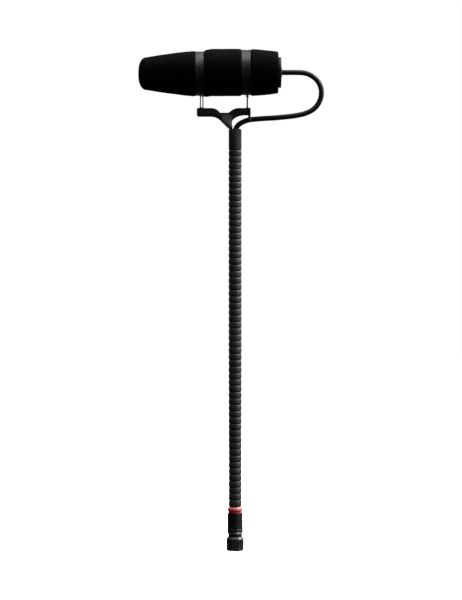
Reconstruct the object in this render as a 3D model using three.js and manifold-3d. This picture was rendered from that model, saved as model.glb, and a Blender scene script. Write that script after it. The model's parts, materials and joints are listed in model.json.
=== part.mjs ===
// Gooseneck podium microphone: a slim microphone head under a foam windscreen, hung by two
// wires over a bow-shaped cradle on a ribbed flexible neck that screws onto a small connector.
// Millimetres, +Z up the neck. The origin is the centre of the coupling nut's bottom face and
// the microphone's nose points to -X. Pieces that touch on the real object keep a small gap.
import * as THREE from 'three';
import { mergeVertices } from 'three/addons/utils/BufferGeometryUtils.js';
import Module from 'manifold-3d';

const wasm = await Module();
wasm.setup();

// ---- driving sizes ----
const gap = 0.3;            // left between two pieces that touch
const lightGap = 0.2;       // left between small pieces inside one another

const nutHeight = 4.9;
const nutWall = 0.65;
const knurlDepth = 0.16;
const knurlCount = 15;
const nutTopChamfer = 0.8;  // how far down the nut its upper chamfer reaches
const nutTopInset = 0.45;   // and how far in it leans
const nutFootChamfer = 0.7;
const threadRadius = 2.45;
const lipHeight = 1.0;      // the nut's inner lip, which the retaining ring holds
const stemRadius = 1.45;
const stemWall = 0.3;
const pinRadius = 0.26;
const pinReach = 0.5;       // how far the centre pin stands out below the nut
const flangeRadius = 2.8;
const bodyHeight = 2.3;     // connector body above the nut
const sleeveRadius = 2.7;
const sleeveHeight = 5.25;
const ringRadius = 2.68;    // coloured marker ring
const ringHeight = 1.95;

const coverWall = 0.58;     // up to the crests of the ribs
const ribDepth = 0.22;
const ribPitch = 2.24;
const ribsInFirst = 6;
const ribsInEach = 5;
const segmentCount = 11;
const bendLimit = 18;       // degrees that one neck joint turns each way
const leadRadius = 0.8;
const coilWire = 0.2;       // radius of the coil's wire

const ferruleHeight = 7.2;
const ferruleWall = 0.49;
const spigotWall = 0.35;
const spigotHeight = 3.7;
const cradleWidth = 3.0;
const armRise = 7.1;        // tops of the cradle's arms above its foot
const leftArmDepth = 3.1;
const rightArmDepth = 2.6;
const saddleDepth = 1.65;   // the bow's middle below its arms
const hookWall = 0.55;      // each side of the cable, under the right arm
const hookLength = 0.9;
const hookReach = 4.8;      // down from the right arm's top
const wireRadius = 0.2;
const wireSpread = 1.0;     // half the distance between a wire's two legs
const frontWireLean = 0.42; // how far each leg stands off its wire's middle along X
const rearWireLean = 0.08;
const notchRoom = 0.25;     // round a wire, in the arm that it passes under
const notchDepth = 0.8;
const cableRadius = 0.92;

const headRise = 19.6;      // the head's axis above the cradle's foot
const foamLength = 49.4;
const foamRear = 15.3;
const foamRadius = 8.33;
const noseRadius = 5.8;
const noseLength = 3.3;
const noseWall = 4.2;       // foam in front of the screen
const flatFrom = -8;        // the foam is at its widest from here
const flatTo = 4;           // to here
const tailRadius = 7.45;
const tailRounding = 0.75;
const frontBandAt = -12.4;
const frontBandWidth = 3.0;
const rearBandAt = 3.9;
const rearBandWidth = 3.2;
const bandWall = 0.6;
const bandInset = 0.32;     // how deep a band sits below the foam round it
const tubeRadius = 3.0;
const tubeWall = 0.45;
const capsuleLength = 13.7;
const housingLength = 4.6;
const plugRadius = 4.2;     // the tail cap's plug inside the foam
const plugLength = 2.4;
const capRadius = 5.4;      // and its disc over the foam's end
const capThickness = 0.65;
const headFloat = 1.0;      // how far the head slides on its wires each way

// ---- sizes and places that follow ----
const nutRadius = threadRadius + nutWall;
const coilRadius = leadRadius + gap + coilWire;
const coilOuter = coilRadius + coilWire;
const coverBore = coilOuter + lightGap;
const neckRadius = coverBore + coverWall;
const halfCut = neckRadius * Math.tan(THREE.MathUtils.degToRad(bendLimit / 2)) + 0.03;
const cableBore = cableRadius + gap;
const spigotRadius = cableBore + spigotWall;
const ferruleBore = Math.max(spigotRadius, coilOuter) + lightGap;
const hookWidth = 2 * (cableBore + hookWall);
const armLeft = frontBandAt - 1.1;
const armRight = rearBandAt + rearBandWidth / 2;
const frontWireAt = frontBandAt + 0.62;
const rearWireAt = rearBandAt + 0.4;

const bodyBase = nutHeight + gap;
const bodyTop = bodyBase + bodyHeight;
const sleeveBase = bodyTop + gap;
const ringBase = sleeveBase + sleeveHeight + gap;
const neckBase = ringBase + ringHeight + gap;
const neckTop = neckBase + (ribsInFirst + (segmentCount - 1) * ribsInEach) * ribPitch;
const ferruleTop = neckTop + gap + ferruleHeight;
const footBase = ferruleTop + gap;
const foamNose = foamRear - foamLength;

// ---- shapes ----
function material(color, roughness, metalness) {
  return new THREE.MeshStandardMaterial({ color, roughness, metalness });
}

function point(x, y) {
  return new THREE.Vector2(x, y);
}

// turned piece about Z: the outline runs up the outside, and back down the bore where there is one
function turned(outline, sides) {
  const open = outline[0].x === 0;
  const points = open ? outline : [...outline, outline[0]];
  return new THREE.LatheGeometry(points, sides).rotateX(Math.PI / 2);
}

// the same about X, for the head's pieces
function turnedAlongX(outline, sides) {
  return turned(outline, sides).rotateY(Math.PI / 2);
}

function tubeOutline(outer, inner, from, to) {
  return [point(outer, from), point(outer, to), point(inner, to), point(inner, from)];
}

function rodOutline(radius, from, to) {
  return [point(0, from), point(radius, from), point(radius, to), point(0, to)];
}

function polygon(radius, sides) {
  const shape = new THREE.Shape();
  for (let i = 0; i < sides; i++) {
    const angle = (2 * Math.PI * i) / sides;
    const corner = point(radius * Math.cos(angle), radius * Math.sin(angle));
    if (i === 0) shape.moveTo(corner.x, corner.y);
    else shape.lineTo(corner.x, corner.y);
  }
  shape.closePath();
  return shape;
}

function swept(curve, radius, sides, steps) {
  return new THREE.ExtrudeGeometry(polygon(radius, sides), {
    steps, extrudePath: curve, bevelEnabled: false, curveSegments: sides,
  });
}

// a flat outline in X and Z, thickened along Y about the middle
function plate(shape, thickness, curveSegments) {
  const geometry = new THREE.ExtrudeGeometry(shape, {
    depth: thickness, bevelEnabled: false, curveSegments,
  });
  return geometry.rotateX(Math.PI / 2).translate(0, thickness / 2, 0);
}

function box(x, y, z, at) {
  return new THREE.BoxGeometry(x, y, z).translate(...at);
}

function solid(geometry) {
  const bare = geometry.clone();
  bare.deleteAttribute('normal');
  bare.deleteAttribute('uv');
  const merged = mergeVertices(bare, 1e-4);
  return new wasm.Manifold(new wasm.Mesh({
    numProp: 3,
    vertProperties: new Float32Array(merged.attributes.position.array),
    triVerts: new Uint32Array(merged.index.array),
  }));
}

function geometryOf(manifold) {
  const mesh = manifold.getMesh();
  const geometry = new THREE.BufferGeometry();
  geometry.setAttribute('position', new THREE.BufferAttribute(mesh.vertProperties, 3));
  geometry.setIndex(new THREE.BufferAttribute(mesh.triVerts, 1));
  geometry.computeVertexNormals();
  return geometry;
}

// ---- materials ----
const blackMetal = material(0x17181a, 0.38, 0.7);
const blackRubber = material(0x121314, 0.7, 0.0);
const blackFoam = material(0x0b0b0c, 0.98, 0.0);
const satinPlastic = material(0x2b2c2e, 0.45, 0.0);
const redPlastic = material(0xa02c30, 0.45, 0.0);
const steel = material(0x8c8e92, 0.32, 1.0);
const gold = material(0xc9a24a, 0.3, 1.0);
const whitePlastic = material(0xd8d6ce, 0.5, 0.0);
const boardGreen = material(0x1f4d33, 0.6, 0.0);

const microphone = new THREE.Group();

function add(name, geometry, look, group = microphone) {
  const mesh = new THREE.Mesh(geometry, look);
  mesh.name = name;
  group.add(mesh);
  return mesh;
}

// ---- connector ----
const pinTop = bodyTop - 0.9;

function couplingNut() {
  const outline = new THREE.Shape();
  for (let i = 0; i < knurlCount; i++) {
    for (const [share, radius] of [[0, nutRadius], [0.5, nutRadius - knurlDepth]]) {
      const angle = (2 * Math.PI * (i + share)) / knurlCount;
      const corner = point(radius * Math.cos(angle), radius * Math.sin(angle));
      if (i === 0 && share === 0) outline.moveTo(corner.x, corner.y);
      else outline.lineTo(corner.x, corner.y);
    }
  }
  outline.closePath();
  const knurled = new THREE.ExtrudeGeometry(outline, { depth: nutHeight, bevelEnabled: false });
  const thread = turned(rodOutline(threadRadius, -1, nutHeight - lipHeight), 20);
  const lip = turned(rodOutline(stemRadius + gap, -1, nutHeight + 1), 20);
  const chamfered = turned([
    point(0, 0), point(nutRadius - knurlDepth, 0), point(nutRadius, nutFootChamfer),
    point(nutRadius, nutHeight - nutTopChamfer), point(nutRadius - nutTopInset, nutHeight),
    point(0, nutHeight),
  ], 4 * knurlCount);
  return geometryOf(
    solid(knurled).intersect(solid(chamfered)).subtract(solid(thread)).subtract(solid(lip)));
}

// stem inside the nut, then a waist, a collar and the flange under the sleeve
function connectorBody() {
  const stemLow = 0.7;
  const stemBore = stemRadius - stemWall;
  const waist = flangeRadius - 0.35;
  const collar = flangeRadius - 0.15;
  const outline = [
    point(stemRadius, stemLow),
    point(stemRadius, bodyBase),
    point(waist, bodyBase),
    point(waist, bodyBase + 0.7),
    point(collar, bodyBase + 0.8),
    point(collar, bodyBase + 1.4),
    point(flangeRadius, bodyBase + 1.5),
    point(flangeRadius, bodyTop),
    point(stemBore, bodyTop),
    point(stemBore, stemLow),
  ];
  return turned(outline, 20);
}

const retainerThickness = 0.5;
const retainerLow = nutHeight - lipHeight - gap - retainerThickness;
function ring(outer, inner, from, to, sides) {
  return turned(tubeOutline(outer, inner, from, to), sides);
}
function rod(radius, from, to, sides) {
  return turned(rodOutline(radius, from, to), sides);
}

const insulatorOuter = stemRadius - stemWall - lightGap;
add('coupling_nut', couplingNut(), blackMetal);
add('connector_body', connectorBody(), blackMetal);
add('retaining_ring',
  ring(threadRadius - lightGap, stemRadius + 0.08, retainerLow, retainerLow + retainerThickness, 16), steel);
add('pin_insulator', ring(insulatorOuter, pinRadius + lightGap, 1.4, pinTop - 0.4, 12), whitePlastic);
add('centre_pin', rod(pinRadius, -pinReach, pinTop, 10), gold);
add('strain_sleeve', ring(sleeveRadius, coverBore, sleeveBase, sleeveBase + sleeveHeight, 20), blackRubber);
add('marker_ring', ring(ringRadius, coverBore, ringBase, ringBase + ringHeight, 20), redPlastic);

// ---- neck ----
// one stretch of the ribbed cover: broad ribs with a narrow groove between each two
function coverOutline(base, ribs, low, high) {
  const outline = [point(neckRadius, low)];
  const slope = 0.18 * ribPitch;
  for (let i = 1; i < ribs; i++) {
    const groove = base + i * ribPitch;
    outline.push(point(neckRadius, groove - slope));
    outline.push(point(neckRadius - ribDepth, groove));
    outline.push(point(neckRadius, groove + slope));
  }
  outline.push(point(neckRadius, high), point(coverBore, high), point(coverBore, low));
  return outline;
}

class Helix extends THREE.Curve {
  constructor(radius, low, high, turns) {
    super();
    Object.assign(this, { radius, low, high, turns });
  }
  getPoint(t, target = new THREE.Vector3()) {
    const angle = 2 * Math.PI * this.turns * t;
    const z = THREE.MathUtils.lerp(this.low, this.high, t);
    return target.set(this.radius * Math.cos(angle), this.radius * Math.sin(angle), z);
  }
}

function coil(low, high) {
  const turns = Math.round((high - low) / ribPitch);
  return swept(new Helix(coilRadius, low, high, turns), coilWire, 4, 8 * turns);
}

let segmentBase = neckBase;
for (let i = 1; i <= segmentCount; i++) {
  const first = i === 1;
  const last = i === segmentCount;
  const ribs = first ? ribsInFirst : ribsInEach;
  const segmentTop = segmentBase + ribs * ribPitch;
  const low = first ? segmentBase : segmentBase + halfCut;
  const high = last ? segmentTop : segmentTop - halfCut;
  const coilLow = first ? sleeveBase + coilWire + gap : low + coilWire;
  const coilHigh = last ? footBase - spigotHeight - coilWire - gap : high - coilWire;
  const leadLow = first ? pinTop + gap : segmentBase + gap;
  const leadHigh = last ? footBase - spigotHeight + gap : segmentTop - gap;
  const number = String(i).padStart(2, '0');
  add(`neck_cover_${number}`, turned(coverOutline(segmentBase, ribs, low, high), 12), blackRubber);
  add(`neck_coil_${number}`, coil(coilLow, coilHigh), steel);
  add(`neck_lead_${number}`, rod(leadRadius, leadLow, leadHigh, 8), blackRubber);
  segmentBase = segmentTop;
}

const ferruleBase = neckTop + gap;
add('top_ferrule', ring(ferruleBore + ferruleWall, ferruleBore, ferruleBase, ferruleTop, 16), blackMetal);

// ---- top of the neck; heights here are measured from the cradle's foot ----
const top = new THREE.Group();
top.position.z = footBase;
microphone.add(top);

// cable loop from the head's tail to the neck, in the head's own plane:
// points chosen by hand, in X and Z
const cableRoute = [
  [14.0, 19.6], [17.5, 19.6], [21.5, 19.6], [24.5, 19.4], [26.9, 18.5], [29.0, 16.7],
  [30.1, 14.6], [30.4, 12.6], [30.1, 10.4], [29.1, 8.3], [27.5, 6.6], [25.0, 5.3],
  [21.5, 4.45], [17.5, 3.95], [13.5, 3.6], [10.0, 3.4], [7.5, 3.2], [5.2, 2.95],
  [3.8, 2.6], [2.6, 2.1], [1.6, 1.5], [0.8, 0.7], [0.3, -0.1], [0.05, -1.0],
  [0.0, -2.0], [0.0, -3.0],
];
const cableCurve = new THREE.CatmullRomCurve3(
  cableRoute.map(([x, z]) => new THREE.Vector3(x, 0, z)), false, 'centripetal');
add('loop_cable', swept(cableCurve, cableRadius, 8, 40), blackRubber, top);

// bow with a raised end under each band, and a stem that leans left of the cable
function cradleShape() {
  const leftBase = armRise - leftArmDepth;
  const rightBase = armRise - rightArmDepth;
  const saddle = armRise - saddleDepth;
  const shape = new THREE.Shape();
  shape.moveTo(armLeft + 0.4, armRise);
  shape.quadraticCurveTo(armLeft, armRise, armLeft, armRise - 0.5);
  shape.lineTo(armLeft, leftBase + 0.7);
  shape.quadraticCurveTo(armLeft, leftBase, armLeft + 0.8, leftBase);
  shape.lineTo(-8.6, leftBase);
  shape.quadraticCurveTo(-7.0, leftBase - 0.05, -5.8, leftBase - 0.8);
  shape.lineTo(-2.35, 0);
  shape.lineTo(-0.2, 0);
  shape.lineTo(-0.4, 0.6);
  shape.lineTo(-1.1, 1.1);
  shape.lineTo(-1.1, 2.5);
  shape.quadraticCurveTo(0.2, 4.3, 3.2, rightBase);
  shape.lineTo(armRight, rightBase);
  shape.lineTo(armRight, armRise);
  shape.lineTo(0.7, armRise);
  shape.quadraticCurveTo(-0.8, armRise - 0.3, -2.3, saddle);
  shape.lineTo(-5.3, saddle);
  shape.quadraticCurveTo(-6.4, armRise - 0.1, -8.2, armRise);
  shape.closePath();
  return shape;
}

function wireNotch(x, lean) {
  const size = 2 * (wireRadius + notchRoom + lean);
  return solid(box(size, hookWidth + 2, 2 * notchDepth, [x, 0, armRise]));
}

// the right arm's end turns down on both sides of the cable and holds it
function cableHook() {
  const low = armRise - hookReach;
  const block = box(hookLength, hookWidth, hookReach, [armRight - hookLength / 2, 0, low + hookReach / 2]);
  const openBelow = box(3, 2 * cableBore, 3, [armRight, 0, low - 1]);
  return solid(block).subtract(solid(openBelow));
}

function cradle() {
  const bow = solid(plate(cradleShape(), cradleWidth, 6));
  const spigot = solid(rod(spigotRadius, -spigotHeight, 0.3, 16));
  const bore = solid(swept(cableCurve, cableBore, 12, 60));
  const mouth = solid(rod(cableBore, -spigotHeight - 1, 0, 12));
  return geometryOf(
    bow.add(spigot).add(cableHook()).subtract(bore).subtract(mouth)
      .subtract(wireNotch(frontWireAt, frontWireLean)).subtract(wireNotch(rearWireAt, rearWireLean)));
}

// one wire: up one side of the band, under its notch in the arm and up the other side
function suspensionWire(x, lean, bandRadius) {
  const foot = armRise - notchDepth + gap + wireRadius;
  const peak = headRise - Math.sqrt(bandRadius ** 2 - wireSpread ** 2) - gap;
  const leg = wireSpread;
  const turn = 0.5;
  const at = (y, z) => new THREE.Vector3(x + (lean * y) / leg, y, z);
  const path = new THREE.CurvePath();
  path.add(new THREE.LineCurve3(at(-leg, peak), at(-leg, foot + turn)));
  path.add(new THREE.QuadraticBezierCurve3(at(-leg, foot + turn), at(-leg, foot), at(turn - leg, foot)));
  path.add(new THREE.LineCurve3(at(turn - leg, foot), at(leg - turn, foot)));
  path.add(new THREE.QuadraticBezierCurve3(at(leg - turn, foot), at(leg, foot), at(leg, foot + turn)));
  path.add(new THREE.LineCurve3(at(leg, foot + turn), at(leg, peak)));
  return swept(path, wireRadius, 6, 20);
}

// ---- head ----
const head = new THREE.Group();
head.position.z = headRise;
top.add(head);

const noseEnd = foamNose + noseLength;
const tailStart = foamRear - tailRounding;

// foam's radius along its length: a long taper to the nose and a short one to the tail
function foamRadiusAt(x) {
  if (x < flatFrom) {
    return foamRadius - (foamRadius - noseRadius) * ((flatFrom - x) / (flatFrom - noseEnd)) ** 1.6;
  }
  if (x > flatTo) {
    return foamRadius - (foamRadius - tailRadius) * ((x - flatTo) / (tailStart - flatTo)) ** 1.6;
  }
  return foamRadius;
}

// from the tail forwards; the slotted tube takes the length that is left
const capBack = foamRear + gap + capThickness;
const capFront = foamRear + gap - plugLength;
const housingBack = capFront - gap;
const housingFront = housingBack - housingLength;
const capsuleBack = housingFront - gap;
const capsuleFront = capsuleBack - capsuleLength;
const tubeBack = capsuleFront - gap;
const screenThickness = 0.5;
const tubeFront = foamNose + noseWall + 2 * gap + screenThickness;
const tubeLength = tubeBack - tubeFront;

const frontBandRadius = foamRadiusAt(frontBandAt) - bandInset;
const rearBandRadius = foamRadiusAt(rearBandAt) - bandInset;

function bandGroove(centre, width, radius) {
  const floor = radius - bandWall - gap;
  const from = centre - width / 2 - gap;
  const to = centre + width / 2 + gap;
  return [point(foamRadiusAt(from), from), point(floor, from), point(floor, to), point(foamRadiusAt(to), to)];
}

function windscreen() {
  const outline = [];
  for (let i = 0; i <= 4; i++) {
    const angle = (Math.PI / 2) * (i / 4);
    const x = foamNose + noseLength * (1 - Math.cos(angle));
    outline.push(point(noseRadius * Math.sin(angle), x));
  }
  for (let i = 1; i <= 4; i++) {
    const x = THREE.MathUtils.lerp(noseEnd, frontBandAt - frontBandWidth / 2, i / 5);
    outline.push(point(foamRadiusAt(x), x));
  }
  outline.push(...bandGroove(frontBandAt, frontBandWidth, frontBandRadius));
  for (const x of [flatFrom, (flatFrom + flatTo) / 2]) outline.push(point(foamRadiusAt(x), x));
  outline.push(...bandGroove(rearBandAt, rearBandWidth, rearBandRadius));
  for (const x of [(rearBandAt + tailStart) / 2, tailStart]) outline.push(point(foamRadiusAt(x), x));
  for (let i = 1; i <= 3; i++) {
    const angle = (Math.PI / 2) * (i / 3);
    const radius = tailRadius - tailRounding * (1 - Math.cos(angle));
    outline.push(point(radius, foamRear - tailRounding * (1 - Math.sin(angle))));
  }
  outline.push(
    point(plugRadius + gap, foamRear), point(plugRadius + gap, capFront - gap),
    point(tubeRadius + gap, capFront - gap), point(tubeRadius + gap, foamNose + noseWall),
    point(0, foamNose + noseWall));
  return turnedAlongX(outline, 24);
}

const boreInside = tubeRadius - tubeWall;

function interferenceTube() {
  const outline = tubeOutline(tubeRadius, boreInside, tubeFront, tubeBack);
  let tube = solid(turnedAlongX(outline, 16));
  const slots = 5;
  for (let i = 0; i < slots; i++) {
    const x = tubeFront + tubeLength * (i + 0.5) / slots;
    tube = tube.subtract(solid(box(tubeLength / slots - 1.4, 2 * tubeRadius + 2, 0.7, [x, 0, 0])));
  }
  return geometryOf(tube);
}

function headRing(outer, inner, from, to, sides = 16) {
  return turnedAlongX(tubeOutline(outer, inner, from, to), sides);
}
function headDisc(radius, from, to, sides = 16) {
  return turnedAlongX(rodOutline(radius, from, to), sides);
}
function band(centre, width, radius) {
  return headRing(radius, radius - bandWall, centre - width / 2, centre + width / 2, 24);
}

// plug in the foam's tail, with a disc that covers the foam's end
function tailCap() {
  const disc = foamRear + gap;
  return turnedAlongX([
    point(plugRadius, capFront), point(plugRadius, disc), point(capRadius, disc),
    point(capRadius, capBack), point(cableBore, capBack), point(cableBore, capFront),
  ], 20);
}

add('cradle', cradle(), satinPlastic, top);
add('front_wire', suspensionWire(frontWireAt, frontWireLean, frontBandRadius), steel, top);
add('rear_wire', suspensionWire(rearWireAt, rearWireLean, rearBandRadius), steel, top);
add('windscreen', windscreen(), blackFoam, head);
add('front_band', band(frontBandAt, frontBandWidth, frontBandRadius), satinPlastic, head);
add('rear_band', band(rearBandAt, rearBandWidth, rearBandRadius), satinPlastic, head);
const spacerInner = boreInside - 0.7;
add('front_screen', headDisc(tubeRadius, tubeFront - gap - screenThickness, tubeFront - gap), steel, head);
add('interference_tube', interferenceTube(), blackMetal, head);
add('capsule_housing', headRing(tubeRadius, boreInside, capsuleFront, capsuleBack), blackMetal, head);
const diaphragmAt = capsuleFront + 0.6;
const spacerAt = capsuleFront + 1.0;
const spacerLength = 1.4;
const boardLength = 8.4;
const boardCentre = capsuleFront + 3.2 + boardLength / 2;
const headLeadFrom = boardCentre + boardLength / 2 + gap;
add('diaphragm', headDisc(boreInside - lightGap, diaphragmAt, diaphragmAt + 0.2), gold, head);
add('spacer_ring',
  headRing(boreInside - lightGap, spacerInner, spacerAt, spacerAt + spacerLength), whitePlastic, head);
add('backplate', headDisc(spacerInner - lightGap, spacerAt + 0.1, spacerAt + 0.7), gold, head);
add('preamp_board', box(boardLength, 3.6, 0.8, [boardCentre, 0, 0]), boardGreen, head);
add('rear_housing', headRing(tubeRadius, cableBore, housingFront, housingBack), blackMetal, head);
add('tail_cap', tailCap(), satinPlastic, head);
const headLeadEnd = cableRoute[0][0] - headFloat - gap;
add('head_lead', headDisc(leadRadius, headLeadFrom, headLeadEnd, 8), blackRubber, head);

export default microphone;
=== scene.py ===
import json
import math
import bmesh
import bpy
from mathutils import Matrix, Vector, noise

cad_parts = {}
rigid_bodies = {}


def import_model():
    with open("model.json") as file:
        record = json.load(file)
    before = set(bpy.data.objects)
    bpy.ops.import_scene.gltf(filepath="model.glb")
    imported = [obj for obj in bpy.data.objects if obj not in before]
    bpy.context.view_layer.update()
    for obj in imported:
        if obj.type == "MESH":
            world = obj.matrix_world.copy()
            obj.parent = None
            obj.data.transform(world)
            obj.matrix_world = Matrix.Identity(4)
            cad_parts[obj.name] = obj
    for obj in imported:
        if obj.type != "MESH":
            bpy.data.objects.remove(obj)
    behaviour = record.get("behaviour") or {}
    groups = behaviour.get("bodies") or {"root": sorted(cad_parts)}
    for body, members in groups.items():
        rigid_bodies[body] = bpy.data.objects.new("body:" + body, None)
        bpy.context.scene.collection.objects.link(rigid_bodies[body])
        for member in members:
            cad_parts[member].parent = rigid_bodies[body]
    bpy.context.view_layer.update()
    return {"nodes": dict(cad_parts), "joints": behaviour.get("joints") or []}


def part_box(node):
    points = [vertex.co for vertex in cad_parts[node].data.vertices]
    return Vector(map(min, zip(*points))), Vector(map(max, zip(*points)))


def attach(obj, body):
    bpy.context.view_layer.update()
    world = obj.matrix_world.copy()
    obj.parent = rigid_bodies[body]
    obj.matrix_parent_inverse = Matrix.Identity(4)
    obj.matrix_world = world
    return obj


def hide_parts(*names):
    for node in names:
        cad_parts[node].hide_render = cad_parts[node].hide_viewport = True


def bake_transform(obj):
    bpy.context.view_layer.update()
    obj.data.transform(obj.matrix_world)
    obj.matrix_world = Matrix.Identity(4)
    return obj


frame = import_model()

mm = 0.001


# camera, level with the middle of the neck
cameraView = {
    "lens": 150.0,
    "fieldHigh": 211.4 * mm,  # height that the view covers at the neck
    "aim": (-1.44 * mm, 0.0, 88.3 * mm),
}


def makeCamera():
    data = bpy.data.cameras.new("camera")
    data.lens = cameraView["lens"]
    data.clip_start = 0.01
    data.clip_end = 50
    camera = bpy.data.objects.new("camera", data)
    distance = cameraView["fieldHigh"] * data.lens / data.sensor_width
    camera.location = Vector(cameraView["aim"]) + Vector((0, -distance, 0))
    camera.rotation_euler = (math.pi / 2, 0, 0)
    bpy.context.collection.objects.link(camera)
    bpy.context.scene.camera = camera
    print("camera", round(distance, 3), "m away")


makeCamera()


# ways of making a mesh
def pieceFrom(name, bm, finish, sharp=40):
    bmesh.ops.recalc_face_normals(bm, faces=bm.faces)
    mesh = bpy.data.meshes.new(name)
    bm.to_mesh(mesh)
    bm.free()
    mesh.materials.append(finish)
    mesh.shade_smooth()
    mesh.set_sharp_from_angle(angle=math.radians(sharp))
    piece = bpy.data.objects.new(name, mesh)
    bpy.context.collection.objects.link(piece)
    return piece


def skin(bm, rings, closed=False):  # faces between one ring of points and the next
    pairs = list(zip(rings, rings[1:]))
    if closed:
        pairs.append((rings[-1], rings[0]))
    for low, high in pairs:
        count = max(len(low), len(high))
        for i in range(count):
            j = (i + 1) % count
            corners = [low[i % len(low)], low[j % len(low)], high[j % len(high)], high[i % len(high)]]
            seen = []
            for corner in corners:
                if corner not in seen:
                    seen.append(corner)
            bm.faces.new(seen)


def eased(outline, radius, steps=4, closed=True):  # rounds the corners of an outline
    points = []
    last = len(outline) - 1
    for i, place in enumerate(outline):
        corner = Vector(place)
        if not closed and i in (0, last):
            points.append(corner)
            continue
        before = Vector(outline[i - 1]) - corner
        after = Vector(outline[(i + 1) % len(outline)]) - corner
        reach = min(radius, before.length * 0.48, after.length * 0.48)
        start = corner + before.normalized() * reach
        stop = corner + after.normalized() * reach
        for step in range(steps + 1):
            t = step / steps
            points.append(start * (1 - t) ** 2 + corner * (2 * t * (1 - t)) + stop * t * t)
    return points


# a turned piece; each outline point is (radius, place along the axis)
def turned(name, outline, sides, finish, along="z", level=0.0, closed=True, shape=None, sharp=40):
    bm = bmesh.new()
    rings = []
    for radius, place in outline:
        if radius < 1e-7:
            angles = [0.0]
        else:
            angles = [2 * math.pi * i / sides for i in range(sides)]
        ring = []
        for angle in angles:
            r = shape(radius, angle, place) if shape else radius
            across, up = r * math.cos(angle), r * math.sin(angle)
            if along == "z":
                ring.append(bm.verts.new((across, up, place + level)))
            else:
                ring.append(bm.verts.new((place, across, up + level)))
        rings.append(ring)
    skin(bm, rings, closed)
    return pieceFrom(name, bm, finish, sharp)


# a rod or tube along a path; radius may change along it
def swept(name, path, radius, sides, finish):
    bm = bmesh.new()
    rings = []
    side = None
    for i, point in enumerate(path):
        ahead = path[min(i + 1, len(path) - 1)] - path[max(i - 1, 0)]
        ahead.normalize()
        if side is None:
            side = Vector((0, 1, 0)) if abs(ahead.y) < 0.9 else Vector((1, 0, 0))
        side = (side - ahead * side.dot(ahead)).normalized()
        up = ahead.cross(side)
        r = radius(i / (len(path) - 1)) if callable(radius) else radius
        ring = []
        for k in range(sides):
            angle = 2 * math.pi * k / sides
            ring.append(bm.verts.new(point + side * (r * math.cos(angle)) + up * (r * math.sin(angle))))
        rings.append(ring)
    rings.insert(0, [bm.verts.new(path[0])])
    rings.append([bm.verts.new(path[-1])])
    skin(bm, rings)
    return pieceFrom(name, bm, finish)


# a smooth line through points, centripetal so that it never loops between them
def smoothLine(points, perSpan):
    line = []
    ends = [points[0] * 2 - points[1]] + list(points) + [points[-1] * 2 - points[-2]]
    for i in range(1, len(ends) - 2):
        p = ends[i - 1:i + 3]
        knots = [0.0]
        for a, b in zip(p, p[1:]):
            knots.append(knots[-1] + (b - a).length ** 0.5)
        for step in range(perSpan):
            t = knots[1] + (knots[2] - knots[1]) * step / perSpan
            a1 = p[0].lerp(p[1], (t - knots[0]) / (knots[1] - knots[0]))
            a2 = p[1].lerp(p[2], (t - knots[1]) / (knots[2] - knots[1]))
            a3 = p[2].lerp(p[3], (t - knots[2]) / (knots[3] - knots[2]))
            b1 = a1.lerp(a2, (t - knots[0]) / (knots[2] - knots[0]))
            b2 = a2.lerp(a3, (t - knots[1]) / (knots[3] - knots[1]))
            line.append(b1.lerp(b2, (t - knots[1]) / (knots[2] - knots[1])))
    line.append(points[-1].copy())
    return line


# shader maths: a Signal is one value on its way through a material
class Signal:
    def __init__(self, tree, socket):
        self.tree = tree
        self.socket = socket

    def combine(self, operation, first, second):
        node = self.tree.nodes.new("ShaderNodeMath")
        node.operation = operation
        for socket, value in zip(node.inputs, (first, second)):
            plug(self.tree, socket, value)
        return Signal(self.tree, node.outputs[0])

    def __add__(self, other):
        return self.combine("ADD", self, other)

    def __radd__(self, other):
        return self.combine("ADD", other, self)

    def __sub__(self, other):
        return self.combine("SUBTRACT", self, other)

    def __rsub__(self, other):
        return self.combine("SUBTRACT", other, self)

    def __mul__(self, other):
        return self.combine("MULTIPLY", self, other)

    def __rmul__(self, other):
        return self.combine("MULTIPLY", other, self)


def plug(tree, socket, value):
    if isinstance(value, Signal):
        tree.links.new(value.socket, socket)
    else:
        socket.default_value = value


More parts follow.
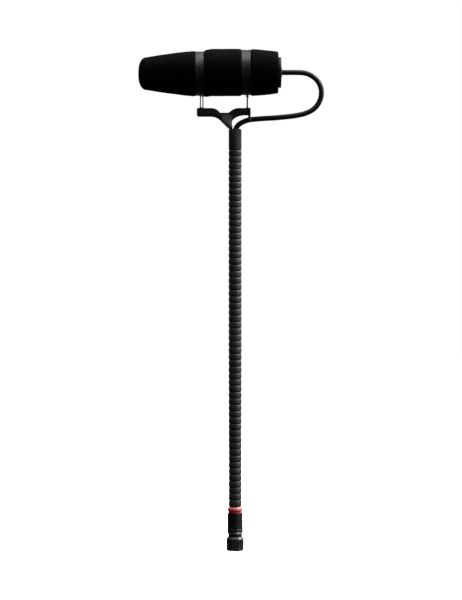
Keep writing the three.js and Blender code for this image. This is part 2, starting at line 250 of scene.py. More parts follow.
# one material under construction
class Finish:
    def __init__(self, name):
        self.material = bpy.data.materials.new(name)
        self.material.use_nodes = True
        self.tree = self.material.node_tree
        self.tree.nodes.clear()
        self.output = self.tree.nodes.new("ShaderNodeOutputMaterial")
        self.shader = self.tree.nodes.new("ShaderNodeBsdfPrincipled")
        self.tree.links.new(self.shader.outputs[0], self.output.inputs[0])

    def node(self, kind, settings, values, result=0):
        made = self.tree.nodes.new(kind)
        for key, value in settings.items():
            if key == "stops":
                ramp = made.color_ramp
                while len(ramp.elements) < len(value):
                    ramp.elements.new(0.5)
                for element, (position, tone) in zip(ramp.elements, value):
                    element.position = position
                    element.color = (tone, tone, tone, 1) if isinstance(tone, float) else (*tone, 1)
            else:
                setattr(made, key, value)
        for key, value in values.items():
            plug(self.tree, made.inputs[key], value)
        return Signal(self.tree, made.outputs[result])

    def place(self):
        return self.node("ShaderNodeTexCoord", {}, {}, "Object")

    def grain(self, size, detail=3.0, rough=0.55):  # soft noise with features of that size
        values = {"Vector": self.place(), "Scale": 1 / size, "Detail": detail, "Roughness": rough}
        return self.node("ShaderNodeTexNoise", {}, values)

    def cells(self, size, feature="F1"):
        values = {"Vector": self.place(), "Scale": 1 / size}
        return self.node("ShaderNodeTexVoronoi", {"feature": feature}, values)

    def ramp(self, signal, *stops):
        return self.node("ShaderNodeValToRGB", {"stops": stops}, {"Fac": signal})

    def tint(self, share, dark, light):
        values = {"Factor": share, "A": (*dark, 1), "B": (*light, 1)}
        return self.node("ShaderNodeMix", {"data_type": "RGBA"}, values, 2)

    def bump(self, height, depth, strength=1.0):
        values = {"Height": height, "Distance": depth, "Strength": strength}
        return self.node("ShaderNodeBump", {}, values)

    def edges(self):  # 0.5 on the flat, more along outer edges
        return self.node("ShaderNodeNewGeometry", {}, {}, "Pointiness")

    def set(self, **values):
        for key, value in values.items():
            plug(self.tree, self.shader.inputs[key.replace("_", " ")], value)
        return self


# Principled inputs whose names hold "IOR" or spaces are given with underscores
def foamFinish():
    look = {"dark": (0.0002, 0.0002, 0.0002), "light": (0.0013, 0.0013, 0.0014), "pore": 0.42 * mm}
    f = Finish("openCellFoam")
    pores = f.cells(look["pore"])
    walls = f.ramp(pores, (0.15, 0.0), (0.75, 1.0))
    fibres = f.grain(0.25 * mm, 4.0, 0.7)
    patches = f.grain(2.6 * mm, 2.0)
    share = walls * fibres * (0.5 + patches)
    f.set(Base_Color=f.tint(share, look["dark"], look["light"]))
    f.set(Roughness=0.86 + 0.12 * fibres, Specular_IOR_Level=0.03)
    f.set(Normal=f.bump(walls * 0.7 + fibres * 0.5, 0.16 * mm, 0.9))
    return f.material


def neckRubberFinish():
    look = {"dark": (0.010, 0.010, 0.0105), "light": (0.026, 0.026, 0.027)}
    f = Finish("neckRubber")
    skinGrain = f.grain(0.16 * mm, 4.0, 0.6)
    bloom = f.grain(5.0 * mm, 3.0)
    f.set(Base_Color=f.tint(bloom * skinGrain * 1.6, look["dark"], look["light"]))
    f.set(Roughness=0.5 + 0.14 * bloom + 0.08 * skinGrain, Specular_IOR_Level=0.4)
    f.set(Normal=f.bump(skinGrain, 0.015 * mm, 0.7))
    return f.material


def cableFinish():
    look = {"dark": (0.002, 0.002, 0.0022), "light": (0.006, 0.006, 0.0062)}
    f = Finish("cableJacket")
    haze = f.grain(2.2 * mm, 3.0)
    skinGrain = f.grain(0.12 * mm, 3.0)
    f.set(Base_Color=f.tint(haze, look["dark"], look["light"]))
    f.set(Roughness=0.5 + 0.14 * haze, Specular_IOR_Level=0.2)
    f.set(Normal=f.bump(skinGrain, 0.01 * mm, 0.6))
    return f.material


def satinFinish():
    look = {"dark": (0.003, 0.003, 0.0033), "light": (0.009, 0.009, 0.0095)}
    f = Finish("satinMoulding")
    spark = f.grain(0.09 * mm, 3.0, 0.65)
    cloud = f.grain(3.4 * mm, 3.0)
    f.set(Base_Color=f.tint(cloud, look["dark"], look["light"]))
    f.set(Roughness=0.42 + 0.1 * cloud + 0.06 * spark, Specular_IOR_Level=0.24)
    f.set(Normal=f.bump(spark, 0.012 * mm, 0.8))
    return f.material


def blackMetalFinish():
    look = {"dark": (0.006, 0.006, 0.0065), "light": (0.014, 0.014, 0.015), "worn": (0.09, 0.088, 0.085)}
    f = Finish("blackMetal")
    lathed = f.node("ShaderNodeMapping", {}, {"Vector": f.place(), "Scale": (1, 1, 40)})
    lines = f.node("ShaderNodeTexNoise", {}, {"Vector": lathed, "Scale": 240.0, "Detail": 2.0})
    cloud = f.grain(1.6 * mm, 3.0)
    wear = f.ramp(f.edges() + cloud * 0.05, (0.585, 0.0), (0.66, 0.7))
    base = f.tint(cloud, look["dark"], look["light"])
    f.set(Base_Color=f.node("ShaderNodeMix", {"data_type": "RGBA"},
                            {"Factor": wear, "A": base, "B": (*look["worn"], 1)}, 2))
    f.set(Roughness=0.38 + 0.14 * cloud, Metallic=wear * 0.8, Specular_IOR_Level=0.34)
    f.set(Normal=f.bump(lines, 0.006 * mm, 0.6))
    return f.material


def redFinish():
    look = {"dark": (0.48, 0.075, 0.08), "light": (0.66, 0.13, 0.135)}
    f = Finish("redMarker")
    cloud = f.grain(1.8 * mm, 3.0)
    skinGrain = f.grain(0.1 * mm, 3.0)
    f.set(Base_Color=f.tint(cloud, look["dark"], look["light"]))
    f.set(Roughness=0.33 + 0.12 * cloud, Specular_IOR_Level=0.5)
    f.set(Normal=f.bump(skinGrain, 0.01 * mm, 0.7))
    return f.material


def bareMetalFinish(name, dark, light, rough):
    f = Finish(name)
    drawn = f.node("ShaderNodeMapping", {}, {"Vector": f.place(), "Scale": (1, 1, 12)})
    lines = f.node("ShaderNodeTexNoise", {}, {"Vector": drawn, "Scale": 900.0, "Detail": 3.0})
    cloud = f.grain(1.2 * mm, 3.0)
    f.set(Base_Color=f.tint(cloud, dark, light), Metallic=1.0)
    f.set(Roughness=rough + 0.12 * lines)
    f.set(Normal=f.bump(lines, 0.008 * mm, 0.5))
    return f.material


def mouldedFinish(name, dark, light, rough, shine=0.5):
    f = Finish(name)
    cloud = f.grain(1.4 * mm, 3.0)
    skinGrain = f.grain(0.14 * mm, 3.0)
    f.set(Base_Color=f.tint(cloud, dark, light))
    f.set(Roughness=rough + 0.12 * cloud, Specular_IOR_Level=shine)
    f.set(Normal=f.bump(skinGrain, 0.01 * mm, 0.7))
    return f.material


def cradleFinish():  # black, with a painted highlight: a paler patch on the front of the stem that stands in for the front light's reflection
    look = {"dark": (0.010, 0.010, 0.0105), "light": (0.022, 0.022, 0.0225), "rubbed": (0.16, 0.16, 0.163)}
    f = Finish("cradlePlastic")
    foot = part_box("top_ferrule")[1].z
    # the spot on the stem's front where the painted highlight sits
    near = f.node("ShaderNodeMapping", {"vector_type": "TEXTURE"}, {
        "Vector": f.place(), "Location": (-3.0 * mm, -1.6 * mm, foot + 2.7 * mm),
        "Scale": (3.1 * mm, 2.2 * mm, 3.4 * mm)})
    rubbed = f.node("ShaderNodeTexGradient", {"gradient_type": "SPHERICAL"}, {"Vector": near}, 1)
    cloud = f.grain(1.4 * mm, 3.0)
    skinGrain = f.grain(0.14 * mm, 3.0)
    # how much of the painted highlight each point takes
    share = f.ramp(rubbed + cloud * 0.12, (0.12, 0.0), (0.6, 1.0))
    plain = f.tint(cloud, look["dark"], look["light"])
    f.set(Base_Color=f.node("ShaderNodeMix", {"data_type": "RGBA"},
                            {"Factor": share, "A": plain, "B": (*look["rubbed"], 1)}, 2))
    f.set(Roughness=0.44 + 0.12 * cloud - 0.06 * share, Specular_IOR_Level=0.35)
    f.set(Normal=f.bump(skinGrain, 0.01 * mm, 0.7))
    return f.material


foam = foamFinish()
nickel = bareMetalFinish("collarNickel", (0.34, 0.34, 0.345), (0.52, 0.52, 0.525), 0.42)
sleeveRubber = mouldedFinish("sleeveRubber", (0.002, 0.002, 0.0021), (0.005, 0.005, 0.0052), 0.5, 0.22)
capPlastic = mouldedFinish("capPlastic", (0.002, 0.002, 0.0022), (0.005, 0.005, 0.0052), 0.5, 0.2)
cradlePlastic = cradleFinish()
neckRubber = neckRubberFinish()
cableJacket = cableFinish()
satin = satinFinish()
blackMetal = blackMetalFinish()
red = redFinish()
steel = bareMetalFinish("bareSteel", (0.42, 0.42, 0.43), (0.58, 0.58, 0.59), 0.24)
darkSteel = bareMetalFinish("darkWire", (0.03, 0.03, 0.032), (0.07, 0.07, 0.072), 0.3)
gold = bareMetalFinish("goldPlate", (0.72, 0.50, 0.20), (0.86, 0.64, 0.28), 0.18)
white = mouldedFinish("whiteInsulator", (0.66, 0.65, 0.61), (0.78, 0.76, 0.71), 0.42)
board = mouldedFinish("boardLaminate", (0.02, 0.09, 0.045), (0.035, 0.14, 0.07), 0.35)
print("finishes made")


# connector: nut, body, pin, sleeve and marker ring
nutValues = {
    "knurls": 15,
    "knurlDeep": 0.28 * mm,
    "topChamfer": 0.8 * mm,
    "footChamfer": 0.7 * mm,
    "threadPitch": 0.79 * mm,
    "threadDeep": 0.16 * mm,
    "lip": 1.0 * mm,          # inner lip that the retaining ring holds
    "lipBore": 1.75 * mm,
    "wall": 0.65 * mm,
}


def couplingNut():
    v = nutValues
    low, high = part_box("coupling_nut")
    outer = high.x
    bore = outer - v["wall"]
    lipLow = high.z - v["lip"]
    shoulder = high.z - v["topChamfer"]
    foot = low.z + v["footChamfer"]
    outline = [(v["lipBore"], high.z), (v["lipBore"], lipLow), (bore, lipLow)]
    turns = 60
    for i in range(1, turns):
        outline.append((bore, lipLow + (low.z - lipLow) * i / turns))
    outline += [(bore + 0.1 * mm, low.z), (outer - 0.3 * mm, low.z), (outer - 0.16 * mm, low.z + 0.1 * mm)]
    levels = 36
    for i in range(levels + 1):
        outline.append((outer, low.z + 0.2 * mm + (shoulder - low.z - 0.2 * mm) * i / levels))
    outline += [(outer - 0.06 * mm, shoulder + 0.08 * mm), (outer - 0.4 * mm, high.z - 0.08 * mm),
                (outer - 0.48 * mm, high.z)]

    def knurl(radius, angle, place):
        if radius > outer - 0.001 * mm:
            fade = min(1.0, (place - foot + 0.2 * mm) / (0.25 * mm), (shoulder - place) / (0.25 * mm))
            rib = (1 + math.cos(v["knurls"] * (angle + math.pi / 2))) / 2
            flare = 0.1 * mm * max(0.0, (foot - place) / v["footChamfer"])
            return radius - v["knurlDeep"] * (1 - rib ** 0.55) * max(fade, 0) - flare
        if abs(radius - bore) < 0.001 * mm and low.z + 0.1 * mm < place < lipLow - 0.1 * mm:
            turn = (place / v["threadPitch"] - angle / (2 * math.pi)) % 1.0
            return radius + v["threadDeep"] * (abs(turn - 0.5) * 2 - 0.5)
        return radius

    nut = turned("couplingNut", outline, 300, blackMetal, shape=knurl, sharp=50)
    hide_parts("coupling_nut")
    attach(nut, "nut")


def connectorBody():
    low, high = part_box("connector_body")
    wide = high.x
    waist, collar = wide - 0.35 * mm, wide - 0.17 * mm
    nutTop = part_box("coupling_nut")[1].z
    base = nutTop + 0.3 * mm
    stem, bore = 1.45 * mm, 1.15 * mm
    outline = [
        (stem, low.z), (stem, nutTop + 0.05 * mm), (waist, nutTop + 0.05 * mm), (waist, base + 0.66 * mm),
        (collar, base + 0.74 * mm), (collar, base + 1.36 * mm), (waist, base + 1.42 * mm),
        (waist, base + 1.46 * mm), (wide, base + 1.5 * mm), (wide, high.z - 0.1 * mm),
        (wide - 0.14 * mm, high.z + 0.25 * mm), (bore, high.z + 0.25 * mm), (bore, low.z),
    ]
    body = turned("connectorBody", eased(outline, 0.06 * mm, 3), 128, blackMetal, sharp=60)
    collarBase, collarTop = base + 0.72 * mm, base + 1.4 * mm
    r = collar + 0.04 * mm
    bandLine = [(r - 0.1 * mm, collarBase), (r, collarBase), (r, collarTop), (r - 0.1 * mm, collarTop)]
    ring = turned("collarRing", eased(bandLine, 0.04 * mm, 2), 128, nickel)
    for piece, slot in ((body, "black_metal"), (ring, "steel")):
        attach(piece, "connector")
    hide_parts("connector_body")


def centrePin():
    low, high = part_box("centre_pin")
    r = high.x
    outline = [(0, low.z)]
    for i in range(1, 9):  # domed tip
        angle = math.pi / 2 * i / 8
        outline.append((r * math.sin(angle), low.z + r * (1 - math.cos(angle))))
    outline += [(r, high.z - 0.6 * mm), (r * 0.8, high.z - 0.5 * mm), (r * 0.8, high.z), (0, high.z)]
    pin = turned("centrePin", outline, 48, gold, closed=False)
    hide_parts("centre_pin")
    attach(pin, "connector")


neckBore = 1.72 * mm
neckStretches = 11  # of ribbed cover in the frame
seam = 0.02 * mm  # between pieces that are seated on one another
ringValues = {"tall": 1.75 * mm, "undercut": 0.3 * mm, "undercutTall": 0.5 * mm}


def strainSleeve():
    low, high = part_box("strain_sleeve")
    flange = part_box("connector_body")[1].z
    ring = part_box("marker_ring")[0].z
    r = high.x
    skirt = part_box("connector_body")[1].x
    outline = [
        (skirt - 0.06 * mm, flange + 0.27 * mm), (skirt - 0.02 * mm, flange + 0.42 * mm),
        (r, low.z + 0.9 * mm), (r, ring - 0.9 * mm), (r - 0.02 * mm, ring - 0.18 * mm),
        (r - 0.1 * mm, ring - seam),
        (neckBore, ring - seam), (neckBore, flange + 0.27 * mm),
    ]
    sleeve = turned("strainSleeve", eased(outline, 0.1 * mm, 4), 128, sleeveRubber)
    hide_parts("strain_sleeve")
    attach(sleeve, "connector")


def markerRing():
    low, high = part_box("marker_ring")
    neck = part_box("neck_cover_01")[0].z
    r = high.x
    v = ringValues
    base = low.z
    waist = r - v["undercut"]
    crown = base + v["tall"]
    outline = [
        (waist, base), (waist, base + v["undercutTall"]), (r, base + v["undercutTall"] + 0.22 * mm),
        (r, crown - 0.3 * mm), (r - 0.2 * mm, crown),
        (neckBore + 0.45 * mm, crown), (neckBore + 0.4 * mm, neck - seam), (neckBore, neck - seam),
        (neckBore, base),
    ]
    ring = turned("markerRing", eased(outline, 0.18 * mm, 5), 128, red)
    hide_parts("marker_ring")
    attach(ring, "connector")


couplingNut()
connectorBody()
centrePin()
strainSleeve()
markerRing()
print("connector made")


# neck: ribbed cover in stretches, most of them centred on one joint
neckValues = {
    "pitch": 2.24 * mm,
    "grooveDeep": 0.13 * mm,
    "grooveWide": 0.38,     # share of the pitch
    "sides": 72,
    "rise": 0.08 * mm,      # height of one ring of points
}


def neckOutline(start, stop, base, radius, bore):
    v = neckValues
    count = max(8, round((stop - start) / v["rise"]))
    outline = []
    for i in range(count + 1):
        z = start + (stop - start) * i / count
        phase = ((z - base) / v["pitch"]) % 1.0
        fromGroove = min(phase, 1 - phase) / (v["grooveWide"] / 2)
        if fromGroove < 1:
            dip = (1 + math.cos(math.pi * fromGroove)) / 2
        else:
            dip = 0.0
        crown = 0.03 * mm * math.cos(2 * math.pi * (phase - 0.5))
        outline.append((radius - 0.03 * mm + crown - v["grooveDeep"] * dip, z))
    outline += [(bore, stop), (bore, start)]
    return outline


def neckCover():
    low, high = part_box("neck_cover_01")
    radius = high.x
    bore = neckBore
    hinges = [j for j in frame["joints"] if j["type"] == "hinge" and not j.get("continuous")]
    levels = [j["pos_m"][2] for j in hinges]
    half = (levels[1] - levels[0]) / 2
    stretches = [("connector", None, low.z, levels[0] - half)]
    for hinge, level in zip(hinges, levels):
        stretches.append((hinge["parent"], hinge["child"], level - half, level + half))
    stretches.append(("cradle", None, levels[-1] + half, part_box("top_ferrule")[0].z - seam))
    for number, (first, second, start, stop) in enumerate(stretches):
        outline = neckOutline(start, stop, low.z, radius, bore)
        name = "neckCover%02d" % (number + 1)
        cover = turned(name, outline, neckValues["sides"], neckRubber, sharp=60)
        if number < neckStretches:
            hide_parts("neck_cover_%02d" % (number + 1))
        if second:
            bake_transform(cover)
        else:
            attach(cover, first)


def topFerrule():
    low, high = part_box("top_ferrule")
    r, bore = high.x, 1.77 * mm
    outline = [
        (r, low.z), (r, high.z - 0.5 * mm), (r - 0.14 * mm, high.z), (bore, high.z), (bore, low.z),
    ]
    ferrule = turned("topFerrule", eased(outline, 0.16 * mm, 4), 96, neckRubber)
    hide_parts("top_ferrule")
    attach(ferrule, "cradle")


neckCover()
topFerrule()
print("neck made")


# cable from the head's tail round into the neck; the same points as the CAD route
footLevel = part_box("top_ferrule")[1].z + 0.3 * mm
cableRoute = [
    (14.0, 19.6), (17.5, 19.6), (21.5, 19.6), (24.5, 19.4), (26.9, 18.5), (29.0, 16.7),
    (30.1, 14.6), (30.4, 12.6), (30.1, 10.4), (29.1, 8.3), (27.5, 6.6), (25.0, 5.3),
    (21.5, 4.45), (17.5, 3.95), (13.5, 3.6), (10.0, 3.4), (7.5, 3.2), (5.2, 2.95),
    (3.8, 2.6), (2.6, 2.1), (1.6, 1.5), (0.8, 0.7), (0.3, -0.1), (0.05, -1.0),
    (0.0, -2.0), (0.0, -3.0),
]
cableValues = {
    "radius": 0.92 * mm,
    "sides": 28,
    "heldTo": (12 * mm, 0, footLevel + 6 * mm),     # a point by the cradle
    "freeFrom": (16 * mm, 0, footLevel + 18 * mm),  # and one by the head
}


def loopCable():
    points = [Vector((x * mm, 0, z * mm + footLevel)) for x, z in cableRoute]
    path = smoothLine(points, 10)
    r = cableValues["radius"]
    cable = swept("loopCable", path, r, cableValues["sides"], cableJacket)
    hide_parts("loop_cable")
    length = sum((b - a).length for a, b in zip(path, path[1:]))
    print("cable", round(length / mm, 1), "mm")
    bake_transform(cable)


loopCable()


# cradle: a moulded bow on a leaning stem, with a hook under its right end
cradleValues = {
    "leftArmDeep": 3.1,  # in millimetres, as are the next four
    "rightArmDeep": 2.6,
    "saddleDeep": 1.65,
    "hookReach": 4.8,
    "hookLong": 0.9,
    "thick": 3.0 * mm,
    "cheekThick": 0.6 * mm,
    "cheekEdge": 0.2 * mm,
    "cheekAside": 1.5 * mm,
    "edge": 1.3 * mm,
    "voxel": 0.13 * mm,
    "smoothing": 6,
}


def quadratic(start, bend, stop, steps=6):
    return [Vector(start) * (1 - t) ** 2 + Vector(bend) * (2 * t * (1 - t)) + Vector(stop) * t * t
            for t in (i / steps for i in range(1, steps + 1))]


def cradleOutline(left, right, rise):
    v = cradleValues
    leftBase = rise - v["leftArmDeep"]
    rightBase = rise - v["rightArmDeep"]
    saddle = rise - v["saddleDeep"]
    points = [Vector((left + 0.4, rise))]
    points += quadratic((left + 0.4, rise), (left, rise), (left, rise - 0.5))
    points.append(Vector((left, leftBase + 0.7)))
    points += quadratic((left, leftBase + 0.7), (left, leftBase), (left + 0.8, leftBase))
    points.append(Vector((-8.6, leftBase)))
    points += quadratic((-8.6, leftBase), (-7.0, leftBase - 0.05), (-5.8, leftBase - 0.8))
    points += [Vector((-2.3, -0.25)), Vector((-0.9, -0.25)), Vector((-0.9, 0.9)), Vector((-1.1, 1.2)),
               Vector((-1.1, 2.5))]
    points += quadratic((-1.1, 2.5), (0.2, 4.3), (3.2, rightBase))
    points += [Vector((right, rightBase)), Vector((right, rise)), Vector((0.7, rise))]
    points += quadratic((0.7, rise), (-0.8, rise - 0.3), (-2.3, saddle))
    points.append(Vector((-5.3, saddle)))
    points += quadratic((-5.3, saddle), (-6.4, rise - 0.1), (-8.2, rise))
    return points


def roundedPlate(name, outline, thick, edge):
    curve = bpy.data.curves.new(name, "CURVE")
    curve.dimensions = "2D"
    curve.fill_mode = "BOTH"
    line = curve.splines.new("POLY")
    line.points.add(len(outline) - 1)
    for spot, place in zip(line.points, outline):
        spot.co = (place.x * mm, place.y * mm, 0, 1)
    line.use_cyclic_u = True
    curve.extrude = thick / 2 - edge
    curve.bevel_depth = edge
    curve.bevel_resolution = 4
    curve.offset = -edge
    plate = bpy.data.objects.new(name, curve)
    plate.rotation_euler = (math.pi / 2, 0, 0)
    plate.location = (0, 0, footLevel)
    bpy.context.collection.objects.link(plate)
    return plate


def cradle():
    v = cradleValues
    low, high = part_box("cradle")
    left, right = low.x / mm, high.x / mm
    rise = (high.z - footLevel) / mm
    bow = roundedPlate("bow", cradleOutline(left, right, rise), v["thick"], v["edge"])
    foot = rise - v["hookReach"]
    inner = right - v["hookLong"]
    hook = [Vector((inner, foot)), Vector((right, foot)), Vector((right, rise)), Vector((inner, rise))]
    cheeks = []
    for side in (-1, 1):
        cheek = roundedPlate("cheek", hook, v["cheekThick"], v["cheekEdge"])
        cheek.location.y = side * v["cheekAside"]
        cheeks.append(cheek)
    bpy.ops.object.select_all(action="DESELECT")
    for part in (bow, *cheeks):
        part.select_set(True)
    bpy.context.view_layer.objects.active = bow
    bpy.ops.object.convert(target="MESH")
    bpy.ops.object.join()
    bpy.ops.object.transform_apply(location=True, rotation=True, scale=True)
    whole = bpy.context.view_layer.objects.active
    whole.name = "cradleBow"
    remesh = whole.modifiers.new("remesh", "REMESH")
    remesh.mode = "VOXEL"
    remesh.voxel_size = v["voxel"]
    smooth = whole.modifiers.new("smooth", "SMOOTH")
    smooth.factor = 0.5
    smooth.iterations = v["smoothing"]
    for modifier in ("remesh", "smooth"):
        bpy.ops.object.modifier_apply(modifier=modifier)
    whole.data.materials.clear()
    whole.data.materials.append(cradlePlastic)
    whole.data.shade_smooth()
    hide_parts("cradle")
    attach(whole, "cradle")
    print("cradle", len(whole.data.vertices), "points")


cradle()


# suspension wires, each a loop under its arm with a bead at both ends of each leg
wireValues = {"radius": 0.2 * mm, "bead": 0.38 * mm, "beadLong": 1.0 * mm}


def suspensionWire(name, node, lean):
    v = wireValues
    low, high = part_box(node)
    x = (low.x + high.x) / 2
    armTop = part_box("cradle")[1].z
    foot = low.z + v["radius"]
    spread = high.y - v["radius"]
    into = high.z + 0.7 * mm
    turn = 0.5 * mm
    corners = [Vector((x - lean, -spread, into)), Vector((x - lean, -spread, armTop))]
    corners += [Vector((x - lean, -spread, foot + turn)), Vector((x, -spread + turn, foot)),
                Vector((x, spread - turn, foot)), Vector((x + lean, spread, foot + turn))]
    corners += [Vector((x + lean, spread, armTop)), Vector((x + lean, spread, into))]
    wire = swept(name, smoothLine(corners, 8), v["radius"], 14, darkSteel)
    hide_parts(node)
    beads = []
    for side in (-1, 1):
        for spot, body in ((high.z - 0.1 * mm, "head"), (armTop - 0.1 * mm, "cradle")):
            centre = Vector((x + lean * side, spread * side, spot))
            line = [centre + Vector((0, 0, v["beadLong"] * (t / 8 - 0.5))) for t in range(9)]
            bead = swept("%sBead%d" % (name, len(beads) + 1), line,
                         lambda t: v["bead"] * (1 - abs(2 * t - 1) ** 3 * 0.55), 20, darkSteel)
            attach(bead, body)
            beads.append(bead)
    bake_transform(wire)


# head: foam windscreen, two bands, tail cap
headValues = {
    "noseLong": 3.3 * mm,
    "noseRadius": 5.85 * mm,
    "tailLong": 0.75 * mm,
    "tailRadius": 7.45 * mm,
    "flatFrom": -8.0 * mm,
    "flatTo": 4.0 * mm,
    "noseDrop": 0.4 * mm,
    "dropFrom": -8.0 * mm,
    "dropOver": 3.0 * mm,
    "poreDeep": 0.13 * mm,
    "sides": 220,
    "step": 0.24 * mm,
}
foamLow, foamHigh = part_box("windscreen")
axisLevel = (foamLow.z + foamHigh.z) / 2
foamRadius = (foamHigh.z - foamLow.z) / 2


def foamRadiusAt(x):
    v = headValues
    noseEnd = foamLow.x + v["noseLong"]
    tailStart = foamHigh.x - v["tailLong"]
    if x < noseEnd:
        depth = (noseEnd - x) / v["noseLong"]
        return v["noseRadius"] * max(0.0, 1 - depth ** 2.5) ** (1 / 2.5)
    if x > tailStart:
        depth = min(1.0, (x - tailStart) / v["tailLong"])
        return v["tailRadius"] - v["tailLong"] * (1 - (1 - depth ** 2) ** 0.5)
    if x < v["flatFrom"]:
        share = (v["flatFrom"] - x) / (v["flatFrom"] - noseEnd)
        return foamRadius - (foamRadius - v["noseRadius"]) * share ** 1.6
    if x > v["flatTo"]:
        share = (x - v["flatTo"]) / (tailStart - v["flatTo"])
        return foamRadius - (foamRadius - v["tailRadius"]) * share ** 1.6
    return foamRadius


def lowered(piece):  # the front of the head sits a little low
    v = headValues
    for vertex in piece.data.vertices:
        share = min(1.0, max(0.0, (v["dropFrom"] - vertex.co.x) / v["dropOver"]))
        vertex.co.z -= v["noseDrop"] * share * share * (3 - 2 * share)


def windscreen():
    v = headValues
    bands = []
    for node in ("front_band", "rear_band"):
        low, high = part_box(node)
        bands.append((low.x, high.x, high.y))
    outline = [(0.0, foamLow.x)]
    for i in range(1, 13):  # the blunt nose
        angle = math.pi / 2 * i / 12
        x = foamLow.x + v["noseLong"] * (1 - math.cos(angle))
        outline.append((foamRadiusAt(x), x))
    x = foamLow.x + v["noseLong"] + v["step"]
    while x < foamHigh.x - 0.002 * mm:
        r = foamRadiusAt(x)
        for low, high, bandRadius in bands:
            if low < x < high:
                r = bandRadius - 0.3 * mm
            else:
                gapTo = max(low - x, x - high)
                if gapTo < 0.7 * mm:  # rolls over towards the band
                    r -= 0.3 * mm * (1 - gapTo / (0.7 * mm)) ** 2
        outline.append((r, x))
        x += v["step"] * (1.0 if x < foamHigh.x - v["tailLong"] else 0.35)
    hole = 4.3 * mm
    end = foamHigh.x
    outline += [(hole + 0.3 * mm, end), (hole, end - 0.3 * mm), (hole, end - 2 * mm)]

    def porous(radius, angle, place):
        if radius < 1.0 * mm or (place > end - 2.1 * mm and radius < hole + 0.2 * mm):
            return radius
        spot = Vector((place, radius * math.cos(angle), radius * math.sin(angle))) / mm
        near = noise.voronoi(spot * 1.7)[0][0]
        soft = noise.noise(spot * 0.22)
        return radius + v["poreDeep"] * (min(near, 0.6) - 0.5) * 0.8 + 0.05 * mm * soft - 0.02 * mm

    screen = turned("windscreenFoam", outline, v["sides"], foam, along="x", level=axisLevel,
                    closed=False, shape=porous, sharp=80)
    lowered(screen)
    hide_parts("windscreen")
    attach(screen, "head")


def band(name, node):
    low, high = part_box(node)
    r = high.y
    wall = 0.6 * mm
    lip = 0.34 * mm
    outline = [
        (r - 0.05 * mm, low.x), (r, low.x + lip), (r - 0.06 * mm, low.x + lip + 0.12 * mm),
        (r - 0.06 * mm, high.x - lip - 0.12 * mm), (r, high.x - lip), (r - 0.05 * mm, high.x),
        (r - wall, high.x), (r - wall, low.x),
    ]
    ring = turned(name, eased(outline, 0.1 * mm, 3), 200, satin, along="x", level=axisLevel)
    lowered(ring)
    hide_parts(node)
    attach(ring, "head")


def tailCap():  # plug in the foam and a disc over the foam's end
    low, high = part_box("tail_cap")
    disc, plug, hole = high.y, 4.2 * mm, 0.95 * mm
    face = foamHigh.x + 0.03 * mm
    outline = [
        (plug, low.x), (plug, face), (disc, face), (disc, high.x - 0.12 * mm), (disc - 0.25 * mm, high.x),
        (hole + 1.3 * mm, high.x), (hole + 1.1 * mm, high.x + 0.12 * mm),
        (hole + 0.4 * mm, high.x + 0.3 * mm), (hole + 0.1 * mm, high.x + 0.3 * mm),
        (hole, high.x + 0.1 * mm), (hole, low.x),
    ]
    cap = turned("tailCap", eased(outline, 0.12 * mm, 4), 140, capPlastic, along="x", level=axisLevel)
    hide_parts("tail_cap")
    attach(cap, "head")


windscreen()
band("frontBand", "front_band")
band("rearBand", "rear_band")
tailCap()
suspensionWire("frontWire", "front_wire", 0.42 * mm)
suspensionWire("rearWire", "rear_wire", 0.08 * mm)
print("head made")


# pieces that stay as the frame has them, most of them inside
keptFinishes = {
    "retaining_ring": steel, "pin_insulator": white, "front_screen": steel,
    "interference_tube": blackMetal, "capsule_housing": blackMetal, "diaphragm": gold,
    "spacer_ring": white, "backplate": gold, "preamp_board": board, "rear_housing": blackMetal,
    "head_lead": cableJacket,
}
for number in range(1, neckStretches + 1):
    keptFinishes["neck_coil_%02d" % number] = steel
    keptFinishes["neck_lead_%02d" % number] = cableJacket
for node, finish in keptFinishes.items():
    inner = frame["nodes"][node]
    inner.data.materials.clear()
    inner.data.materials.append(finish)


# floor and lights
stageValues = {
    "floor": -24.0 * mm,
    "floorRadius": 4.0,
    "front": 0.004,   # how bright the studio is in front of the microphone
    "behind": 0.22,   # and behind it, where it gives the edges their sheen
}
lamps = [  # name, place, aim, size across and up, watts
    ("key", (0.72, 0.16, 0.86), (0, 0, 0.11), (0.5, 0.5), 38.0),
    ("top", (-0.15, -0.05, 1.1), (0, 0, 0.1), (1.0, 0.6), 16.0),
    ("fill", (0.85, -0.7, 0.25), (0, 0, 0.08), (0.5, 0.7), 4.0),
]


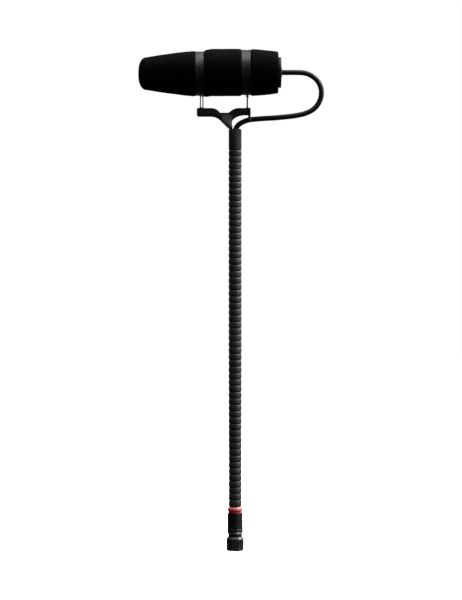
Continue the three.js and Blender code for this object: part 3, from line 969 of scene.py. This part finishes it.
def makeStage():
    f = Finish("paleFloor")
    f.set(Base_Color=f.tint(f.grain(60 * mm, 2.0), (0.88, 0.88, 0.88), (0.93, 0.93, 0.93)))
    f.set(Roughness=0.9)
    f.set(Emission_Color=(1, 1, 1, 1), Emission_Strength=1.0)
    bm = bmesh.new()
    rings = []
    for r in (0.5, 1.5, stageValues["floorRadius"]):
        rings.append([bm.verts.new((r * math.cos(a), r * math.sin(a), stageValues["floor"]))
                      for a in (2 * math.pi * i / 64 for i in range(64))])
    rings.insert(0, [bm.verts.new((0, 0, stageValues["floor"]))])
    skin(bm, rings)
    floor = pieceFrom("floor", bm, f.material)
    floor.visible_diffuse = False
    floor.visible_glossy = False
    world = bpy.data.worlds.new("studio")
    world.use_nodes = True
    bpy.context.scene.world = world
    tree = world.node_tree
    tree.nodes.clear()

    def add(kind, **inputs):
        node = tree.nodes.new(kind)
        for key, value in inputs.items():
            plug(tree, node.inputs[key], value)
        return node

    view = add("ShaderNodeTexCoord")
    heading = add("ShaderNodeSeparateXYZ", Vector=Signal(tree, view.outputs["Generated"]))
    behind = add("ShaderNodeMapRange", Value=Signal(tree, heading.outputs["Y"]))
    behind.inputs["From Min"].default_value = 0.0
    behind.inputs["From Max"].default_value = 0.8
    behind.inputs["To Min"].default_value = stageValues["front"]
    behind.inputs["To Max"].default_value = stageValues["behind"]
    dim = add("ShaderNodeBackground", Color=(1, 1, 1, 1), Strength=Signal(tree, behind.outputs[0]))
    bright = add("ShaderNodeBackground", Color=(1, 1, 1, 1), Strength=1.0)
    seen = add("ShaderNodeLightPath")
    mix = add("ShaderNodeMixShader", Fac=Signal(tree, seen.outputs["Is Camera Ray"]))
    out = add("ShaderNodeOutputWorld")
    tree.links.new(dim.outputs[0], mix.inputs[1])
    tree.links.new(bright.outputs[0], mix.inputs[2])
    tree.links.new(mix.outputs[0], out.inputs[0])
    for name, place, aim, size, watts in lamps:
        data = bpy.data.lights.new(name, "AREA")
        data.shape = "RECTANGLE"
        data.size, data.size_y = size
        data.energy = watts
        lamp = bpy.data.objects.new(name, data)
        lamp.location = place
        lamp.rotation_euler = (Vector(aim) - Vector(place)).to_track_quat("-Z", "Y").to_euler()
        bpy.context.collection.objects.link(lamp)
    bpy.context.scene.view_settings.view_transform = "Standard"
    bpy.context.scene.view_settings.look = "None"


makeStage()
print("stage made")
